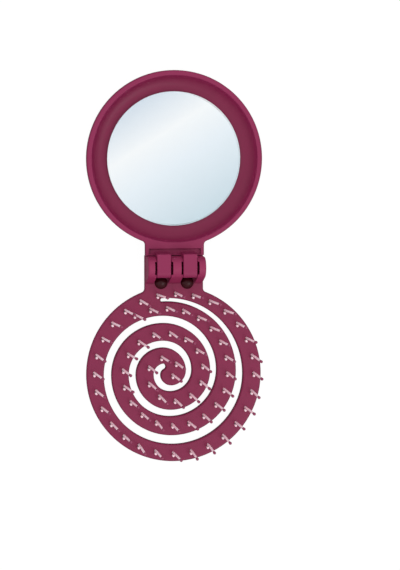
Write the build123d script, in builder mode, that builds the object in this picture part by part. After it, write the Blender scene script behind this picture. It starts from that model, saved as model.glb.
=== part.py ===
from build123d import *
import os
from math import atan2, cos, degrees, radians, sin, sqrt
from random import Random

# A pocket hairbrush that folds shut over its bristles, with a round mirror in the other half.
# It lies open on its back: +Z up, +Y towards the mirror, the hinge axis along X above y = 0.
# The brush half stays put and the mirror half turns about the hinge pin. All sizes in mm.

# ---------- outline ----------
disc_diameter = 66.5
neck_length = 7.5             # edge of a disc to the hinge axis: 148 long in all when open
neck_width = 22.2
neck_corner = 1.6             # radius where a neck runs into its disc
disc_radius = disc_diameter / 2
disc_offset = disc_radius + neck_length    # hinge axis to the centre of a disc
brush_centre = Vector(0, -disc_offset)
mirror_centre = Vector(0, disc_offset)

# ---------- heights ----------
plate_thickness = 3.0         # brush plate
frame_height = 5.4            # back of the mirror frame to the top of its lip
filament_height = 8.3         # plate to the highest point of a bead
closing_gap = 0.3             # beads to the frame's lip when the brush is shut
tip_height = plate_thickness + filament_height
axis_height = (tip_height + closing_gap + frame_height) / 2

# ---------- plate edges ----------
plate_edge = 0.7              # rounding of the brush plate's rim
slot_edge = 0.6               # rounding of the slot's upper edge
frame_top_edge = 0.6
frame_back_edge = 2.4

# ---------- spiral slot ----------
# Both edges are chains of quarter turns. Each list gives how far a quarter's radius falls short
# of the disc's, starting at the top of the disc and running clockwise.
slot_start_angle = 95.0       # direction from the disc's centre, degrees from +X
slot_end_sweep = 88.0         # how far the last quarter turn runs
slot_wide_edge_centre = (-2.69, -0.31)
slot_wide_edge_lead = (4.11, 6.72, 6.62)
slot_wide_edge_first = 10.91
slot_wide_edge_steps = (1.6, 3.14)
slot_wide_edge_tail = (4.24,)
slot_near_edge_centre = (-2.7, 1.05)
slot_near_edge_lead = (6.85, 8.85, 10.25)
slot_near_edge_first = 13.65
slot_near_edge_steps = (1.65, 3.0)
slot_near_edge_tail = (3.9, 2.55)
slot_least_radius = 5.5       # the even quarters stop before this radius
slot_end_roundness = 0.44     # corner radius as a share of the slot's width there

# ---------- tufts ----------
rim_row_inset = 2.85          # disc's edge to the outer row of holes
rim_row_count = 28
rim_row_start = 89.2          # direction of its first hole, degrees from +X
spiral_row_centre = (-3.78, -0.21)
spiral_row_first = 8.1        # disc's radius less the row's first radius
spiral_row_steps = (1.08, 3.6)
spiral_row_least_radius = 0.3
spiral_row_lead_in = 63.5     # degrees of the first quarter before the first hole
spiral_row_pitch = 6.32
outer_turn_radius = 17.4      # the spiral row's turns are told apart by these distances
inner_turn_radius = 7.5

filament_diameter = 0.85
leg_spacing = 1.15            # between the two legs of a folded filament
short_leg = 1.7               # above the plate
hole_clearance = 0.05         # round the two legs, which share an oblong hole
hole_floor = 0.7              # plate left under a hole
bead_diameter = 1.15
bead_reach = 0.7              # end of the filament to the middle of the bead
mean_lean = 18.5              # degrees, of the long legs
lean_scatter = 2.0
lean_direction_near = -20.0   # degrees from +X, at the hinge side of the disc
lean_direction_far = -56.0    # and at its far side
turn_scatter = 9.0
fold_direction = -96.0        # from the long leg to the short one
anchor_width = 3.0
anchor_height = 0.8
anchor_fit = 0.02

# ---------- hinge ----------
lug_centre = 4.97             # lugs each side of the middle
lug_width = 5.3
lug_half = 3.7                # hinge axis to the lug's top, underside and rear
lug_corner = 2.0              # rounding of its two rear corners
lug_front = 5.3               # hinge axis to the front of the lug's top
lug_foot = 5.6                # and to the foot of its front, in the recess
lug_plate_clearance = 0.4     # lug's underside to the brush plate, at the frame's end
knuckle_radius = 4.2
knuckle_toe = 6.4             # where the knuckles run out on the brush plate
knuckle_inset = 0.15          # neck's side to the outer face of a knuckle
knuckle_side_edge = 0.7       # rounding of the two outer faces
side_clearance = 0.18         # between a lug and the knuckles beside it
stop_gap = 0.25               # frame's end to the knuckles, when open
relief_width = 4.9            # notch in the side of a knuckle, open at the top
relief_depth = 0.6
hinge_edge = 0.35             # rounding of the lugs' edges
pin_diameter = 2.0
pin_press_clearance = 0.01    # radial, in the knuckles
pin_running_clearance = 0.06  # radial, in the lugs
pin_edge = 0.2
pin_blind_wall = 1.2          # plastic left over the pin's left end
half_neck = neck_width / 2
half_hinge = half_neck - knuckle_inset
frame_end = knuckle_radius + stop_gap

# ---------- recess across the end of the frame's neck ----------
recess_reach = 7.0            # hinge axis to its far wall
recess_land = 0.45            # left standing along the frame's end
recess_depth = 1.2
recess_margin = 1.2           # left standing at the neck's sides
recess_corner = 0.4

# ---------- dark studs that the lugs close down on ----------
stud_diameter = 4.9
stud_distance = 6.0           # behind the hinge axis
stud_closing_gap = 0.3        # a stud's top to its lug, when the brush is shut
stud_seat_depth = 0.5
stud_fit = 0.05
stem_diameter = 2.4
stem_length = 1.7

# ---------- mirror ----------
lip_width = 1.9
lip_wall = 0.8                # upright part of the lip's inner wall
lip_inner_edge = 0.3
dish_floor = 1.2              # plastic under the glass
dish_flat_radius = 27.0
glass_diameter = 50.5
glass_thickness = 1.1
glass_bevel = 0.35
silvering_thickness = 0.1
back_paint_thickness = 0.1
silvering_inset = 0.15
pad_thickness = 0.3
pad_inset = 1.2

scatter = Random(11)


def quarter_radii(lead, first, steps, count, tail):
    """Radii of a chain of quarter turns: a lead-in, evenly shrinking ones, and a tight tail."""
    radii = [disc_radius - short for short in lead]
    radius = disc_radius - first
    for index in range(count):
        radii.append(radius)
        radius -= steps[index % 2]
    return radii + list(tail)


def spiral_quarters(centre, radii, start_angle, first_quarter, end_sweep):
    """Centre, radius, start and clockwise sweep of each quarter of a four-centre spiral."""
    quarters = []
    middle = brush_centre + Vector(*centre)
    for index, radius in enumerate(radii):
        quarter_start = first_quarter - 90 * index
        start = start_angle if index == 0 else quarter_start
        end = quarter_start - (end_sweep if index == len(radii) - 1 else 90)
        quarters.append((middle, radius, start, end - start))
        if index < len(radii) - 1:
            towards = Vector(cos(radians(end)), sin(radians(end)))
            middle = middle + towards * (radius - radii[index + 1])
    return quarters


def draw_quarters(quarters):
    """Add the quarters' arcs to the open line, and return its two ends."""
    arcs = [CenterArc(middle, radius, start, sweep) for middle, radius, start, sweep in quarters]
    return arcs[0] @ 0, arcs[-1] @ 1


def disc_and_neck(centre, neck_end):
    """A disc whose neck runs to y = neck_end, with rounded inner corners."""
    side = 1 if centre.Y > 0 else -1
    junction = abs(centre.Y) - sqrt(disc_radius**2 - half_neck**2)
    with BuildSketch() as outline:
        with Locations((centre.X, centre.Y)):
            Circle(disc_radius)
        with Locations((0, (centre.Y + neck_end) / 2)):
            Rectangle(neck_width, abs(centre.Y - neck_end))
        for x in (-half_neck, half_neck):
            corner = Vector(x, side * junction)
            fillet(outline.vertices().sort_by_distance(corner)[0], neck_corner)
    return outline.sketch


def slot_outline():
    """The spiral slot between its wide and near edges, with both ends rounded."""
    wide_first = disc_radius - slot_wide_edge_first
    mean_step = sum(slot_wide_edge_steps) / 2
    even_count = 1 + int((wide_first - slot_least_radius) / mean_step)
    wide_radii = quarter_radii(slot_wide_edge_lead, slot_wide_edge_first, slot_wide_edge_steps,
                               even_count, slot_wide_edge_tail)
    near_radii = quarter_radii(slot_near_edge_lead, slot_near_edge_first, slot_near_edge_steps,
                               even_count - 1, slot_near_edge_tail)
    with BuildSketch() as outline:
        with BuildLine():
            wide_ends = draw_quarters(spiral_quarters(slot_wide_edge_centre, wide_radii,
                                                      slot_start_angle, 90, slot_end_sweep))
            near_ends = draw_quarters(spiral_quarters(slot_near_edge_centre, near_radii,
                                                      slot_start_angle, 90, slot_end_sweep))
            slot_ends = [Line(wide, near) for wide, near in zip(wide_ends, near_ends)]
        make_face()
        for slot_end in slot_ends:
            corners = [outline.vertices().sort_by_distance(slot_end @ place)[0]
                       for place in (0, 1)]
            fillet(corners, slot_end.length * slot_end_roundness)
    return outline.sketch


def touch_point(start, middle, radius, side):
    """Where a line from start touches a circle, on its left side (1) or its right side (-1)."""
    to_middle = middle - start
    length = sqrt(to_middle.length**2 - radius**2)
    turn = side * degrees(atan2(radius, length))
    return start + to_middle.normalized().rotate(Axis.Z, turn) * length


def knuckle_profile():
    """Round head on the axis, upright on the mirror side, sloping out on the brush side."""
    middle = Vector(0, axis_height)
    toe = Vector(-knuckle_toe, plate_thickness)
    with BuildSketch() as profile:
        with Locations(middle):
            Circle(knuckle_radius)
        with BuildLine():
            Polyline(middle, touch_point(toe, middle, knuckle_radius, 1), toe,
                     (-knuckle_toe, plate_thickness / 2), (0, plate_thickness / 2), close=True)
        make_face()
        with BuildLine():
            Polyline(middle, (knuckle_radius, axis_height), (knuckle_radius, 0), (0, 0),
                     close=True)
        make_face()
    return profile.sketch


def lug_profile():
    """Block round the pin, flat on top, that stands on the end of the frame's neck."""
    rear_top = (-lug_half, axis_height + lug_half)
    rear_bottom = (-lug_half, lug_underside)
    with BuildSketch() as profile:
        with BuildLine():
            Polyline(rear_bottom, rear_top, (lug_front, axis_height + lug_half),
                     (lug_foot, recess_floor), (lug_foot, frame_height / 2),
                     (frame_end, frame_height / 2),
                     (frame_end, plate_thickness + lug_plate_clearance),
                     (0, lug_underside), close=True)
        make_face()
        corners = [profile.vertices().sort_by_distance(Vector(*corner))[0]
                   for corner in (rear_top, rear_bottom)]
        fillet(corners, lug_corner)
    return profile.sketch


def knuckle_spans():
    """X ranges of the three knuckles, and which of their sides face a lug."""
    inner = lug_centre - lug_width / 2 - side_clearance
    outer = lug_centre + lug_width / 2 + side_clearance
    return [(-half_hinge, -outer, (1,)), (-inner, inner, (-1, 1)), (outer, half_hinge, (-1,))]


def spiral_row_points():
    """Hole centres along the spiral arm, one pitch apart along a four-centre spiral."""
    radii = []
    radius = disc_radius - spiral_row_first
    while radius > spiral_row_least_radius:
        radii.append(radius)
        radius -= spiral_row_steps[(len(radii) - 1) % 2]
    quarters = spiral_quarters(spiral_row_centre, radii, 180 - spiral_row_lead_in, 180, 90)
    points = []
    travelled = 0.0
    for middle, radius, start, sweep in quarters:
        length = radians(abs(sweep)) * radius
        while len(points) * spiral_row_pitch < travelled + length:
            along = (len(points) * spiral_row_pitch - travelled) / length
            angle = radians(start + sweep * along)
            points.append(middle + Vector(cos(angle), sin(angle)) * radius)
        travelled += length
    return points


def rim_row_points():
    radius = disc_radius - rim_row_inset
    turns = [radians(rim_row_start - 360 * index / rim_row_count)
             for index in range(rim_row_count)]
    return [brush_centre + Vector(cos(turn), sin(turn)) * radius for turn in turns]


def tuft(centre):
    """What one tuft needs: its centre, its fold and lean directions and its lean in degrees."""
    fold = radians(fold_direction + scatter.uniform(-turn_scatter, turn_scatter) / 2)
    down = 0.5 + (brush_centre - centre).Y / disc_diameter
    direction = lean_direction_near + (lean_direction_far - lean_direction_near) * down
    lean_turn = radians(direction + scatter.uniform(-turn_scatter, turn_scatter))
    lean = mean_lean + scatter.uniform(-lean_scatter, lean_scatter)
    return {
        "centre": centre,
        "fold": Vector(cos(fold), sin(fold)),
        "lean_way": Vector(cos(lean_turn), sin(lean_turn)),
        "lean": lean,
    }


spiral_tufts = [tuft(point) for point in spiral_row_points()]
rows = {
    "rim_row": [tuft(point) for point in rim_row_points()],
    "outer_turn": [one for one in spiral_tufts
                   if (one["centre"] - brush_centre).length >= outer_turn_radius],
    "inner_turn": [one for one in spiral_tufts if inner_turn_radius
                   <= (one["centre"] - brush_centre).length < outer_turn_radius],
    "centre_turn": [one for one in spiral_tufts
                    if (one["centre"] - brush_centre).length < inner_turn_radius],
}
all_tufts = [one for row in rows.values() for one in row]


filament_radius = filament_diameter / 2
bead_radius = bead_diameter / 2
hole_width = filament_diameter + 2 * hole_clearance
hole_length = leg_spacing + hole_width
bend_height = hole_floor + hole_length / 2
anchor_thickness = leg_spacing - filament_diameter - 2 * anchor_fit
recess_floor = frame_height - recess_depth
lug_underside = axis_height - lug_half
stud_radius = stud_diameter / 2
stud_top = lug_underside - stud_closing_gap
stud_places = [(side * lug_centre, -stud_distance) for side in (-1, 1)]
bore_depth = 2 * half_hinge - pin_blind_wall
lip_radius = disc_radius - lip_width
glass_radius = glass_diameter / 2
pad_top = dish_floor + pad_thickness
paint_top = pad_top + back_paint_thickness
silvering_top = paint_top + silvering_thickness


def long_leg_arc(one):
    """Foot, middle, end and end direction of a long leg that bends over in one arc."""
    turn = radians(2 * one["lean"])
    foot = one["centre"] - one["fold"] * (leg_spacing / 2) + Vector(0, 0, plate_thickness)
    rise = filament_height - bead_radius - bead_reach * cos(turn)
    bend = rise / sin(turn)
    up = Vector(0, 0, 1)

    def at(angle):
        return foot + one["lean_way"] * (bend * (1 - cos(angle))) + up * (bend * sin(angle))

    return foot, at(turn / 2), at(turn), one["lean_way"] * sin(turn) + up * cos(turn)


def fold_angle(one):
    return degrees(atan2(one["fold"].Y, one["fold"].X))


def anchor_place(one):
    """Place of an anchor: in the fold of its filament, across the fold's direction."""
    return Location(one["centre"] + Vector(0, 0, bend_height), (0, 0, fold_angle(one) + 90))


# ---------- knuckles, made by themselves and then joined to the brush base ----------
with BuildPart() as knuckles:
    for x_from, x_to, lug_sides in knuckle_spans():
        with BuildSketch(Plane.YZ.offset(x_from)):
            add(knuckle_profile())
        extrude(amount=x_to - x_from)
        for side in lug_sides:
            face_x = x_to if side > 0 else x_from
            with Locations((face_x, 0, axis_height + knuckle_radius / 2)):
                Box(2 * relief_depth, relief_width, knuckle_radius, mode=Mode.SUBTRACT)
            with Locations(Location((face_x, 0, axis_height), (0, 90, 0))):
                Cylinder(relief_width / 2, 2 * relief_depth, mode=Mode.SUBTRACT)
    round_edges = knuckles.edges().filter_by(GeomType.CIRCLE)
    heads = round_edges.filter_by(lambda edge: abs(edge.radius - knuckle_radius) < 0.01)
    fillet(heads.group_by(Axis.X)[0] + heads.group_by(Axis.X)[-1], knuckle_side_edge)

# ---------- brush base ----------
with BuildPart() as brush_base:
    extrude(disc_and_neck(brush_centre, knuckle_radius), amount=plate_thickness)
    rim = brush_base.edges().filter_by(lambda edge: edge.center().Y < 0)
    fillet(rim.group_by(Axis.Z)[0] + rim.group_by(Axis.Z)[-1], plate_edge)
    extrude(slot_outline(), amount=plate_thickness, mode=Mode.SUBTRACT)
    fillet(brush_base.edges(Select.LAST).group_by(Axis.Z)[-1], slot_edge)
    add(knuckles.part)
    with Locations(Location((half_hinge - bore_depth / 2, 0, axis_height), (0, 90, 0))):
        Cylinder(pin_diameter / 2 + pin_press_clearance, bore_depth, mode=Mode.SUBTRACT)
    with Locations([(x, y, plate_thickness) for x, y in stud_places]):
        CounterBoreHole(stem_diameter / 2 + stud_fit, stud_radius + stud_fit,
                        stud_seat_depth, stud_seat_depth + stem_length)
    with BuildSketch(Plane.XY.offset(plate_thickness)):
        for one in all_tufts:
            with Locations(one["centre"]):
                SlotOverall(hole_length, hole_width, rotation=fold_angle(one))
    extrude(amount=hole_floor - plate_thickness, mode=Mode.SUBTRACT)
    with Locations([anchor_place(one) for one in all_tufts]):
        Box(anchor_width + 2 * anchor_fit, anchor_thickness + 2 * anchor_fit, anchor_height,
            align=(Align.CENTER, Align.CENTER, Align.MIN), mode=Mode.SUBTRACT)
brush_base.part.label = "brush_base"

# ---------- hinge pin ----------
with BuildPart() as hinge_pin:
    with Locations(Location((half_hinge - bore_depth / 2, 0, axis_height), (0, 90, 0))):
        Cylinder(pin_diameter / 2, bore_depth)
    chamfer(hinge_pin.edges().filter_by(GeomType.CIRCLE), pin_edge)
hinge_pin.part.label = "hinge_pin"

# ---------- dark studs ----------
with BuildPart() as hinge_studs:
    for x, y in stud_places:
        seat = plate_thickness - stud_seat_depth
        with BuildSketch(Plane.XZ.offset(-y)):
            with BuildLine():
                Polyline((x, stud_top), (x, seat - stem_length),
                         (x + stem_diameter / 2, seat - stem_length),
                         (x + stem_diameter / 2, seat), (x + stud_radius, seat),
                         (x + stud_radius, plate_thickness))
                TangentArc((x, stud_top), (x + stud_radius, plate_thickness), tangent=(1, 0))
            make_face()
        revolve(axis=Axis((x, y, 0), (0, 0, 1)))
hinge_studs.part.label = "hinge_studs"

# ---------- mirror frame ----------
with BuildPart() as mirror_frame:
    extrude(disc_and_neck(mirror_centre, frame_end), amount=frame_height)
    outline_edges = mirror_frame.edges().filter_by(lambda edge: edge.center().Y > frame_end)
    fillet(outline_edges.group_by(Axis.Z)[-1], frame_top_edge)
    fillet(outline_edges.group_by(Axis.Z)[0], frame_back_edge)
    with BuildSketch(Plane.XZ.offset(-disc_offset)):
        with BuildLine():
            wall_foot = (lip_radius, frame_height - lip_wall)
            Polyline(wall_foot, (lip_radius, frame_height), (0, frame_height),
                     (0, dish_floor), (dish_flat_radius, dish_floor))
            TangentArc((dish_flat_radius, dish_floor), wall_foot, tangent=(1, 0))
        make_face()
    revolve(axis=Axis((0, disc_offset, 0), (0, 0, 1)), mode=Mode.SUBTRACT)
    lip_edges = mirror_frame.edges(Select.LAST).group_by(Axis.Z)[-1]
    fillet(lip_edges.filter_by(GeomType.CIRCLE), lip_inner_edge)
    with Locations((0, recess_reach, frame_height)):
        Box(neck_width - 2 * recess_margin, recess_reach - frame_end - recess_land,
            2 * recess_depth,
            align=(Align.CENTER, Align.MAX, Align.CENTER), mode=Mode.SUBTRACT)
    far_edges = mirror_frame.edges(Select.LAST).filter_by(Axis.X).group_by(Axis.Y)[-1]
    fillet(far_edges.group_by(Axis.Z)[0], recess_corner)
    for side in (-1, 1):
        with BuildSketch(Plane.YZ.offset(side * lug_centre - lug_width / 2)):
            add(lug_profile())
        extrude(amount=lug_width)
    lug_edges = mirror_frame.edges().filter_by(lambda edge: edge.center().Z > axis_height)
    fillet(lug_edges, hinge_edge)
    with Locations(Location((0, 0, axis_height), (0, 90, 0))):
        Cylinder(pin_diameter / 2 + pin_running_clearance, neck_width, mode=Mode.SUBTRACT)
mirror_frame.part.label = "mirror_frame"

# ---------- glass and what holds it, from the dish floor up ----------
with BuildPart() as mirror_adhesive_pad:
    with BuildSketch(Plane.XY.offset(dish_floor)):
        with Locations(mirror_centre):
            Circle(glass_radius - pad_inset)
    extrude(amount=pad_thickness)
mirror_adhesive_pad.part.label = "mirror_adhesive_pad"

with BuildPart() as mirror_back_paint:
    with BuildSketch(Plane.XY.offset(pad_top)):
        with Locations(mirror_centre):
            Circle(glass_radius - silvering_inset)
    extrude(amount=back_paint_thickness)
mirror_back_paint.part.label = "mirror_back_paint"

with BuildPart() as mirror_silvering:
    with BuildSketch(Plane.XY.offset(paint_top)):
        with Locations(mirror_centre):
            Circle(glass_radius - silvering_inset)
    extrude(amount=silvering_thickness)
mirror_silvering.part.label = "mirror_silvering"

with BuildPart() as mirror_glass:
    with BuildSketch(Plane.XY.offset(silvering_top)):
        with Locations(mirror_centre):
            Circle(glass_radius)
    extrude(amount=glass_thickness)
    chamfer(mirror_glass.edges().group_by(Axis.Z)[-1], glass_bevel)
mirror_glass.part.label = "mirror_glass"

pieces = [brush_base, hinge_pin, hinge_studs, mirror_frame, mirror_adhesive_pad,
          mirror_back_paint, mirror_silvering, mirror_glass]

# ---------- stapled tufts, one filament folded round one anchor in each hole ----------
for row_name, tufts in rows.items():
    with BuildPart() as filaments:
        for one in tufts:
            foot, middle, end, end_way = long_leg_arc(one)
            short_foot = foot + one["fold"] * leg_spacing
            drop = Vector(0, 0, bend_height - plate_thickness)
            bend_bottom = (foot + short_foot) * 0.5 + drop - Vector(0, 0, leg_spacing / 2)
            with BuildLine() as path:
                Line(short_foot + Vector(0, 0, short_leg), short_foot + drop)
                ThreePointArc(short_foot + drop, bend_bottom, foot + drop)
                Line(foot + drop, foot)
                ThreePointArc(foot, middle, end)
            with BuildSketch(Plane(short_foot + Vector(0, 0, short_leg), z_dir=(0, 0, -1))):
                Circle(filament_radius)
            sweep(path=path.line)
    filaments.part.label = row_name + "_filaments"

    with BuildPart() as ball_tips:
        for one in tufts:
            foot, middle, end, end_way = long_leg_arc(one)
            side_way = one["lean_way"].cross(Vector(0, 0, 1))
            shoulder = Vector(filament_radius, 0)
            touch = touch_point(shoulder, Vector(0, bead_reach), bead_radius, -1)
            with BuildSketch(Plane(end, x_dir=side_way, z_dir=side_way.cross(end_way))):
                with BuildLine():
                    Polyline((0, bead_reach + bead_radius), (0, 0), shoulder, touch)
                    RadiusArc(touch, (0, bead_reach + bead_radius), -bead_radius)
                make_face()
            revolve(axis=Axis(end, end_way))
    ball_tips.part.label = row_name + "_ball_tips"

    with BuildPart() as anchors:
        with Locations([anchor_place(one) for one in tufts]):
            Box(anchor_width, anchor_thickness, anchor_height - anchor_fit,
                align=(Align.CENTER, Align.CENTER, Align.MIN))
    anchors.part.label = row_name + "_anchors"
    pieces += [filaments, ball_tips, anchors]

os.makedirs("parts", exist_ok=True)
for piece in pieces:
    export_step(piece.part, "parts/" + piece.part.label + ".step")
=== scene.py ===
from math import cos, radians, sin

import bpy
import numpy as np
from mathutils import Matrix, Vector


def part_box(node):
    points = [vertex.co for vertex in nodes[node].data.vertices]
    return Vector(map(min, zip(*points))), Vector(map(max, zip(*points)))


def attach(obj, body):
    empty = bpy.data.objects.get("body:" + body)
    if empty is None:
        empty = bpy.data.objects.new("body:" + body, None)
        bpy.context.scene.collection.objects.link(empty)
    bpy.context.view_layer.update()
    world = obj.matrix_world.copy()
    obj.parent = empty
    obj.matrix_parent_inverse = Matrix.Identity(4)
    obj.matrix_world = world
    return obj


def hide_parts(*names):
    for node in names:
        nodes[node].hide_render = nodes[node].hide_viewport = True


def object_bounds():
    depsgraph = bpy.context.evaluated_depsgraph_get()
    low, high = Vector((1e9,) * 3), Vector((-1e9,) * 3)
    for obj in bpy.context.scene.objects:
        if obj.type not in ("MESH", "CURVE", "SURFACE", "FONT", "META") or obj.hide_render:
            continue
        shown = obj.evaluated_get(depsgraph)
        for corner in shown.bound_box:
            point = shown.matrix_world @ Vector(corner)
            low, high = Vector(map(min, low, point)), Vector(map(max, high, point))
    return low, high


# A pocket hairbrush that folds shut on its hinge, with a round mirror in the other half.
# Everything is in metres, in the frame of the CAD: +Z up, +Y towards the mirror.
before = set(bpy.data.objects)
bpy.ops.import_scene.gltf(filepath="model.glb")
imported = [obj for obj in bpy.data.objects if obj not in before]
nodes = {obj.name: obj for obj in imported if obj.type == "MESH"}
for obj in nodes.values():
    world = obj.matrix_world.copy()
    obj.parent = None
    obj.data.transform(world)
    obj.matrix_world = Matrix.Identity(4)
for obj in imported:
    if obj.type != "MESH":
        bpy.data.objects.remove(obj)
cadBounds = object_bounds()
print("frame loaded,", len(nodes), "nodes")

camera = {
    "aim": (0.0103, -0.0073, 0.0),  # the point in the middle of the picture
    "distance": 1.2,
    "leanLeft": 8.2,                # degrees off the vertical, towards -X
    "leanUp": 4.5,                  # and towards +Y
    "pixelsPerMetre": 2640.0,       # at the aim
    "pictureHeight": 570,
    "sensor": 36.0,                 # millimetres
}


def placeCamera(values):
    left, up = radians(values["leanLeft"]), radians(values["leanUp"])
    back = Vector((-sin(left), sin(up) * cos(left), cos(up) * cos(left)))
    right = Vector((0, 1, 0)).cross(back).normalized()
    turn = Matrix((right, back.cross(right), back)).transposed()
    data = bpy.data.cameras.new("camera")
    data.sensor_width = values["sensor"]
    focalPixels = values["pixelsPerMetre"] * values["distance"]
    data.lens = focalPixels * values["sensor"] / values["pictureHeight"]
    eye = bpy.data.objects.new("camera", data)
    eye.location = Vector(values["aim"]) + back * values["distance"]
    eye.rotation_mode = "QUATERNION"
    eye.rotation_quaternion = turn.to_quaternion()
    bpy.context.scene.collection.objects.link(eye)
    bpy.context.scene.camera = eye


placeCamera(camera)
print("camera placed")


# A socket that takes part in sums: each sum adds one Math node to its tree.
class Signal:
    def __init__(self, tree, socket):
        self.tree = tree
        self.socket = socket

    def combine(self, operation, first, second):
        return self.tree.node("ShaderNodeMath", {"operation": operation}, {0: first, 1: second})

    def __add__(self, other):
        return self.combine("ADD", self, other)

    def __radd__(self, other):
        return self.combine("ADD", other, self)

    def __sub__(self, other):
        return self.combine("SUBTRACT", self, other)

    def __rsub__(self, other):
        return self.combine("SUBTRACT", other, self)

    def __mul__(self, other):
        return self.combine("MULTIPLY", self, other)

    def __rmul__(self, other):
        return self.combine("MULTIPLY", other, self)

    def larger(self, other):
        return self.combine("MAXIMUM", self, other)


# A node tree with one way to add any node. Settings come first, then values or links.
class Tree:
    def __init__(self, owner):
        owner.use_nodes = True
        self.nodes = owner.node_tree.nodes
        self.links = owner.node_tree.links
        self.nodes.clear()

    def node(self, kind, settings=None, sockets=None, output=0, stops=()):
        made = self.nodes.new(kind)
        for name, value in (settings or {}).items():
            setattr(made, name, value)
        if stops:
            ramp = made.color_ramp.elements
            while len(ramp) < len(stops):
                ramp.new(1.0)
            for element, (position, color) in zip(ramp, stops):
                element.position = position
                element.color = opaque(color)
        for name, value in (sockets or {}).items():
            if isinstance(value, Signal):
                self.links.new(value.socket, made.inputs[name])
            else:
                made.inputs[name].default_value = value
        return Signal(self, made.outputs[output]) if made.outputs else None


def linear(red, green, blue):
    # sRGB numbers from 0 to 255, as a linear colour
    share = np.array((red, green, blue)) / 255
    bright = ((share + 0.055) / 1.055) ** 2.4
    return tuple(np.where(share > 0.04045, bright, share / 12.92))


def opaque(color):
    return (*color, 1.0)


def blendColors(tree, amount, first, second):
    # the node's colours are its sockets 6 and 7, and their blend is its output 2
    sockets = {0: amount, 6: first, 7: second}
    return tree.node("ShaderNodeMix", {"data_type": "RGBA"}, sockets, 2)


def objectPlace(tree):
    return tree.node("ShaderNodeTexCoord", None, None, "Object")


def upwardPart(tree, place):
    return tree.node("ShaderNodeSeparateXYZ", None, {"Vector": place}, "Z")


def rayIs(tree, kind):
    return tree.node("ShaderNodeLightPath", None, None, "Is " + kind + " Ray")


def speckle(tree, place, period, detail=2.0):
    # cloudy noise from 0 to 1 whose patches are about one period across
    sockets = {"Vector": place, "Scale": 1.0 / period, "Detail": detail}
    return tree.node("ShaderNodeTexNoise", None, sockets, "Fac")


def relief(tree, height, depth):
    sockets = {"Height": height, "Distance": depth, "Strength": 1.0}
    return tree.node("ShaderNodeBump", None, sockets)


def heightShare(tree, low, high):
    # how far a point has risen from low to high, from 0 to 1
    height = upwardPart(tree, objectPlace(tree))
    sockets = {"Value": height, "From Min": low, "From Max": high}
    return tree.node("ShaderNodeMapRange", None, sockets)


def startMaterial(name):
    material = bpy.data.materials.new(name)
    return material, Tree(material)


def finishMaterial(tree, sockets):
    surface = tree.node("ShaderNodeBsdfPrincipled", None, sockets)
    tree.node("ShaderNodeOutputMaterial", None, {"Surface": surface})


raspberry = {
    "color": linear(134, 35, 75),
    "darker": linear(125, 30, 68),
    "raisedPaintedLight": linear(148, 40, 84),       # painted light: the knuckles are coloured lighter, for the light they catch
    "paintedLightHeights": (0.0032, 0.0060),   # where this starts and where it is full
    "roughness": 0.46,
    "roughnessSpread": 0.08,             # up and down from there
    "cloudPeriod": 0.0035,               # faint flow clouds of the moulding
    "grainPeriod": 0.00035,              # fine texture of the mould
    "grainDetail": 3.0,
    "grainDepth": 0.000012,
    "specular": 0.32,
}

frameShadedRaspberry = {
    **raspberry,
    # painted shade: the frame's colours are darker copies of the brush's, for the shade in its
    # dish
    "color": linear(128, 27, 69),
    "darker": linear(120, 24, 63),
    "raisedPaintedLight": linear(139, 34, 79),       # painted light on the lip and the lugs as well
    "paintedLightHeights": (0.0025, 0.0042),
}


def raspberryPlastic(name, values):
    # two shades in soft clouds, and painted light: a lighter colour where the moulding rises
    material, tree = startMaterial(name)
    place = objectPlace(tree)
    clouds = speckle(tree, place, values["cloudPeriod"])
    grain = speckle(tree, place, values["grainPeriod"], values["grainDetail"])
    flat = blendColors(tree, clouds, opaque(values["darker"]), opaque(values["color"]))
    # painted light: how far in the lighter colour of the raised parts has come
    share = heightShare(tree, *values["paintedLightHeights"])
    spread = values["roughnessSpread"]
    finishMaterial(tree, {
        "Base Color": blendColors(tree, share, flat, opaque(values["raisedPaintedLight"])),
        "Roughness": values["roughness"] - spread + 2 * spread * clouds,
        "Specular IOR Level": values["specular"],
        "Normal": relief(tree, grain, values["grainDepth"]),
    })
    return material


stud = {
    "color": linear(56, 10, 19),
    "roughness": 0.24,
    "roughnessSpread": 0.1,
    "specular": 0.18,
    "wavePeriod": 0.0012,
    "waveDepth": 0.00002,
}


def studPlastic(name, values):
    # one dark colour, whose gloss wavers gently over the dome
    material, tree = startMaterial(name)
    waves = speckle(tree, objectPlace(tree), values["wavePeriod"])
    finishMaterial(tree, {
        "Base Color": opaque(values["color"]),
        "Roughness": values["roughness"] + values["roughnessSpread"] * waves,
        "Specular IOR Level": values["specular"],
        "Normal": relief(tree, waves, values["waveDepth"]),
    })
    return material


nylon = {
    "foot": linear(255, 215, 225),  # a little paler where the filament leaves the plate
    "tip": linear(255, 209, 221),
    "heights": (0.004, 0.010),      # where one starts to turn into the other, and has
    "roughness": 0.35,
    "roughnessSpread": 0.15,
    "drawnPeriod": 0.0004,
    "translucence": 0.5,
    "scatter": (0.0008, 0.0006, 0.0006),  # how far red, green and blue light strays
}


def nylonFilament(name, values):
    # pale translucent nylon, tinted from foot to tip
    material, tree = startMaterial(name)
    share = heightShare(tree, *values["heights"])
    drawn = speckle(tree, objectPlace(tree), values["drawnPeriod"])
    finishMaterial(tree, {
        "Base Color": blendColors(tree, share, opaque(values["foot"]), opaque(values["tip"])),
        "Roughness": values["roughness"] + values["roughnessSpread"] * drawn,
        "Subsurface Weight": values["translucence"],
        "Subsurface Radius": values["scatter"],
        "Subsurface Scale": 1.0,
    })
    return material


bead = {
    "color": linear(146, 56, 92),
    "neck": linear(222, 150, 172),    # thin enough there for the pale filament to show
    "neckHeights": (0.0100, 0.0105),
    "roughness": 0.28,
    "roughnessSpread": 0.1,
    "cloudPeriod": 0.0008,
    "translucence": 0.3,
    "scatter": (0.0008, 0.0003, 0.0004),
}


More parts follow.
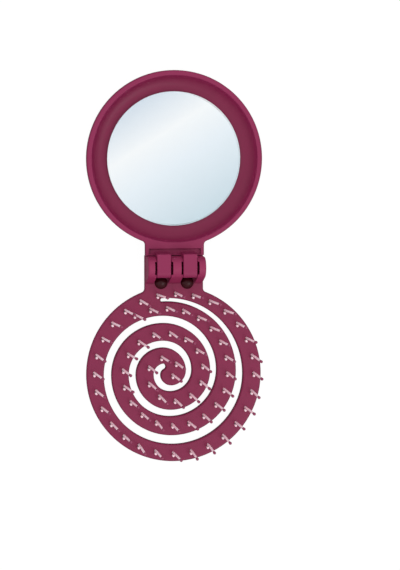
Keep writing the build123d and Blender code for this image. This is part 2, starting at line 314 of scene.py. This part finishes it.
def beadPlastic(name, values):
    # paler at the neck, with a faintly uneven gloss
    material, tree = startMaterial(name)
    clouds = speckle(tree, objectPlace(tree), values["cloudPeriod"])
    share = heightShare(tree, *values["neckHeights"])
    finishMaterial(tree, {
        "Base Color": blendColors(tree, share, opaque(values["neck"]), opaque(values["color"])),
        "Roughness": values["roughness"] + values["roughnessSpread"] * clouds,
        "Subsurface Weight": values["translucence"],
        "Subsurface Radius": values["scatter"],
        "Subsurface Scale": 1.0,
    })
    return material


# painted shade: the pin is real, but its near-black, red-tinged colour stands for the shade in
# the hinge's slits where it shows
shadeDarkPin = {
    "color": (0.06, 0.04, 0.045),
    "roughness": 0.55,
    "roughnessSpread": 0.2,
    "linePeriod": 0.0001,
    "lineStretch": (0.05, 1, 1),    # draws the specks out into lines along X
    "lineDepth": 0.000004,
}

# the anchors' dull dark colour is partly their own and partly painted shade, so where they show
# in the tuft holes they read as shade
anchorWire = {**shadeDarkPin, "color": (0.25, 0.22, 0.2), "roughness": 0.5}


def drawnWire(name, values):
    # metal with the fine lines of the die it was drawn through
    material, tree = startMaterial(name)
    sockets = {"Vector": objectPlace(tree), "Scale": values["lineStretch"]}
    stretched = tree.node("ShaderNodeMapping", None, sockets)
    lines = speckle(tree, stretched, values["linePeriod"])
    finishMaterial(tree, {
        "Base Color": opaque(values["color"]),
        "Metallic": 1.0,
        "Roughness": values["roughness"] + values["roughnessSpread"] * lines,
        "Normal": relief(tree, lines, values["lineDepth"]),
    })
    return material


backPaint = {
    "color": (0.08, 0.09, 0.1),
    "cloudColor": (0.1, 0.1, 0.1),
    "cloudShare": 0.2,
    "cloudPeriod": 0.002,
    "cloudDepth": 0.00003,
    "roughness": 0.6,
}

foamTape = {**backPaint, "color": (0.7, 0.7, 0.69), "cloudPeriod": 0.0006, "roughness": 0.9}


def softLayer(name, values):
    # a dull layer with faint clouds
    material, tree = startMaterial(name)
    clouds = speckle(tree, objectPlace(tree), values["cloudPeriod"])
    plain, cloudy = opaque(values["color"]), opaque(values["cloudColor"])
    finishMaterial(tree, {
        "Base Color": blendColors(tree, values["cloudShare"] * clouds, plain, cloudy),
        "Roughness": values["roughness"],
        "Normal": relief(tree, clouds, values["cloudDepth"]),
    })
    return material


glass = {
    "bevel": 0.00035,          # ground edge of the front
    "backBevel": 0.0001,
    "turns": 192,
    "sharpAngle": 30,          # degrees between faces, above which an edge stays crisp
    "color": linear(253, 253, 253),
    "refraction": 1.5,
    "ripplePeriod": 0.02,
    "rippleDepth": 0.000002,
}

silver = {
    "gap": 0.00002,            # keeps the film's faces apart from the glass and the paint
    "turns": glass["turns"],
    "sharpAngle": glass["sharpAngle"],
    "reflectionBandNormal": (0.537, -0.843, 0.0),  # across the bands of the painted reflection, over the mirror's face
    "halfSpan": 0.0253,        # from the middle to either end of the stops
    # painted reflection: the bands of pale blue and white painted into the film's colour
    "stops": [(0.0, linear(213, 226, 238)), (0.3, linear(249, 253, 255)),
              (0.55, linear(234, 244, 251)), (1.0, linear(202, 222, 232))],
    "roughness": 0.03,
}


def clearGlass(name, values):
    # clear float glass with a very slight ripple
    material, tree = startMaterial(name)
    ripple = speckle(tree, objectPlace(tree), values["ripplePeriod"])
    finishMaterial(tree, {
        "Base Color": opaque(values["color"]),
        "Roughness": 0.0,
        "IOR": values["refraction"],
        "Transmission Weight": 1.0,
        "Normal": relief(tree, ripple, values["rippleDepth"]),
    })
    return material


def silverFilm(name, values, middle):
    # painted reflection: the film's colour runs through pale blue and white bands across the
    # mirror
    material, tree = startMaterial(name)
    fromMiddle = tree.node("ShaderNodeVectorMath", {"operation": "SUBTRACT"},
                           {0: objectPlace(tree), 1: middle})
    along = tree.node("ShaderNodeVectorMath", {"operation": "DOT_PRODUCT"},
                      {0: fromMiddle, 1: values["reflectionBandNormal"]}, "Value")
    share = along * (0.5 / values["halfSpan"]) + 0.5
    paintedReflection = tree.node("ShaderNodeValToRGB", None, {"Fac": share}, "Color", values["stops"])
    finishMaterial(tree, {
        "Base Color": paintedReflection,
        "Metallic": 1.0,
        "Roughness": values["roughness"],
    })
    return material


def lathe(name, radii, heights, centre, values):
    # Surface of revolution: each profile point (radius, height) is carried round the upright
    # axis through centre. The first and last points lie on the axis and close the two poles.
    turns = values["turns"]
    angle = np.linspace(0, 2 * np.pi, turns, endpoint=False)
    ringRadii, ringHeights = np.array(radii[1:-1]), np.array(heights[1:-1])
    x = centre[0] + np.outer(ringRadii, np.cos(angle))
    y = centre[1] + np.outer(ringRadii, np.sin(angle))
    z = np.repeat(ringHeights[:, None], turns, axis=1)
    rings = np.stack((x, y, z), axis=2).reshape(-1, 3)
    poles = [(centre[0], centre[1], heights[0]), (centre[0], centre[1], heights[-1])]
    grid = np.arange(len(rings)).reshape(-1, turns)
    beside = np.roll(grid, -1, axis=1)
    quads = np.stack((grid[:-1], beside[:-1], beside[1:], grid[1:]), axis=2).reshape(-1, 4)
    first, last = len(rings), len(rings) + 1
    startFan = [(first, int(b), int(a)) for a, b in zip(grid[0], beside[0])]
    endFan = [(last, int(a), int(b)) for a, b in zip(grid[-1], beside[-1])]
    mesh = bpy.data.meshes.new(name)
    mesh.from_pydata(np.vstack((rings, poles)).tolist(), [], quads.tolist() + startFan + endFan)
    mesh.shade_smooth()
    mesh.set_sharp_from_angle(angle=radians(values["sharpAngle"]))
    piece = bpy.data.objects.new(name, mesh)
    bpy.context.scene.collection.objects.link(piece)
    return piece


def mirrorPieces(paneValues, filmValues):
    # the pane as it lies in the dish, and the silver film under it
    low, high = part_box("mirror_glass")
    centre = (low + high) / 2
    radius = (high.x - low.x) / 2
    bevel, backBevel = paneValues["bevel"], paneValues["backBevel"]
    radii = [0, radius - backBevel, radius, radius, radius - bevel, 0]
    heights = [low.z, low.z, low.z + backBevel, high.z - bevel, high.z, high.z]
    pane = lathe("mirrorGlass", radii, heights, centre, paneValues)
    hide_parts("mirror_glass")
    pane.data.materials.append(clearGlass("clearGlass", paneValues))
    low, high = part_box("mirror_silvering")
    radius = (high.x - low.x) / 2
    bottom, top = low.z + filmValues["gap"], high.z - filmValues["gap"]
    heights = [bottom, bottom, top, top]
    film = lathe("silverFilm", [0, radius, radius, 0], heights, centre, filmValues)
    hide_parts("mirror_silvering")
    film.data.materials.append(silverFilm("silverFilm", filmValues, centre))
    for piece in (pane, film):
        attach(piece, "mirror_half")


def dress(node, material):
    slots = nodes[node].data.materials
    slots.clear()
    slots.append(material)


mirrorPieces(glass, silver)
dress("brush_base", raspberryPlastic("brushPlastic", raspberry))
dress("mirror_frame", raspberryPlastic("framePlastic", frameShadedRaspberry))
dress("hinge_studs", studPlastic("studPlastic", stud))
dress("mirror_back_paint", softLayer("backPaint", backPaint))
dress("mirror_adhesive_pad", softLayer("foamTape", foamTape))
dress("hinge_pin", drawnWire("shadeDarkPin", shadeDarkPin))
filamentMaterial = nylonFilament("nylonFilament", nylon)
beadMaterial = beadPlastic("beadPlastic", bead)
anchorMaterial = drawnWire("anchorWire", anchorWire)
for row in ("rim_row", "outer_turn", "inner_turn", "centre_turn"):
    dress(row + "_filaments", filamentMaterial)
    dress(row + "_ball_tips", beadMaterial)
    dress(row + "_anchors", anchorMaterial)
print("materials made")

sky = {
    "matt": 0.72,               # what the world adds to matt surfaces
    "high": 1.0,                # what polished surfaces see overhead
    "low": 0.3,                 # and near the horizon
    "band": (-0.1, 0.8),        # the upward parts of a direction between which this changes
}


def lightWorld(values):
    world = bpy.data.worlds.new("studio")
    bpy.context.scene.world = world
    tree = Tree(world)
    direction = tree.node("ShaderNodeTexCoord", None, None, "Generated")
    bandStart, bandEnd = values["band"]
    sockets = {"Value": upwardPart(tree, direction), "From Min": bandStart, "From Max": bandEnd,
               "To Min": values["low"], "To Max": values["high"]}
    polished = tree.node("ShaderNodeMapRange", {"interpolation_type": "SMOOTHSTEP"}, sockets)
    mirrored = rayIs(tree, "Glossy").larger(rayIs(tree, "Transmission"))
    matt = values["matt"]
    strength = matt + mirrored * (polished - matt)
    strength = strength + rayIs(tree, "Camera") * (1.0 - strength)
    sockets = {"Color": opaque((1, 1, 1)), "Strength": strength}
    background = tree.node("ShaderNodeBackground", None, sockets)
    tree.node("ShaderNodeOutputWorld", None, {"Surface": background})


# each lamp stands for a softbox: the key at the lower right, the fill at the upper left
keyLamp = {"power": 2.3, "size": 0.5, "place": (0.5, -0.42, 0.86)}
fillLamp = {"power": 2.7, "size": 0.6, "place": (-0.5, 0.35, 1.05)}


def softLamp(name, values, target):
    data = bpy.data.lights.new(name, "AREA")
    data.energy = values["power"]
    data.size = values["size"]
    lamp = bpy.data.objects.new(name, data)
    lamp.location = values["place"]
    lamp.rotation_mode = "QUATERNION"
    lamp.rotation_quaternion = (Vector(values["place"]) - target).to_track_quat("Z", "Y")
    lamp.visible_transmission = False    # the mirror's glass would show it as a patch
    bpy.context.scene.collection.objects.link(lamp)
    return lamp


paleFloor = {
    "size": 4.0,
    "color": (0.25, 0.25, 0.255),  # what it throws back on the part
    "shade": 0.08,                 # the matt share that shows the part's shadow to the camera
    "glow": 0.95,                  # its own white, for the camera
    "polishShare": 0.08,           # how much of that white shows in reflections
}


def floorMaterial(name, values):
    material, tree = startMaterial(name)
    polished = rayIs(tree, "Glossy") * values["polishShare"]
    seen = rayIs(tree, "Camera").larger(rayIs(tree, "Transmission")).larger(polished)
    shade = opaque((values["shade"],) * 3)
    color = blendColors(tree, seen, opaque(values["color"]), shade)
    matt = tree.node("ShaderNodeBsdfDiffuse", None, {"Color": color})
    glow = tree.node("ShaderNodeEmission", None, {"Strength": seen * values["glow"]})
    both = tree.node("ShaderNodeAddShader", None, {0: matt, 1: glow})
    tree.node("ShaderNodeOutputMaterial", None, {"Surface": both})
    return material


def layFloor(values, level):
    half = values["size"] / 2
    signs = ((-1, -1), (1, -1), (1, 1), (-1, 1))
    mesh = bpy.data.meshes.new("floor")
    mesh.from_pydata([(x * half, y * half, level) for x, y in signs], [], [(0, 1, 2, 3)])
    mesh.materials.append(floorMaterial("paleFloor", values))
    floor = bpy.data.objects.new("floor", mesh)
    bpy.context.scene.collection.objects.link(floor)


middle = (cadBounds[0] + cadBounds[1]) / 2
lightWorld(sky)
softLamp("key", keyLamp, middle)
softLamp("fill", fillLamp, middle).visible_glossy = False
layFloor(paleFloor, cadBounds[0].z)
bpy.context.scene.view_settings.view_transform = "Standard"
print("studio lit")
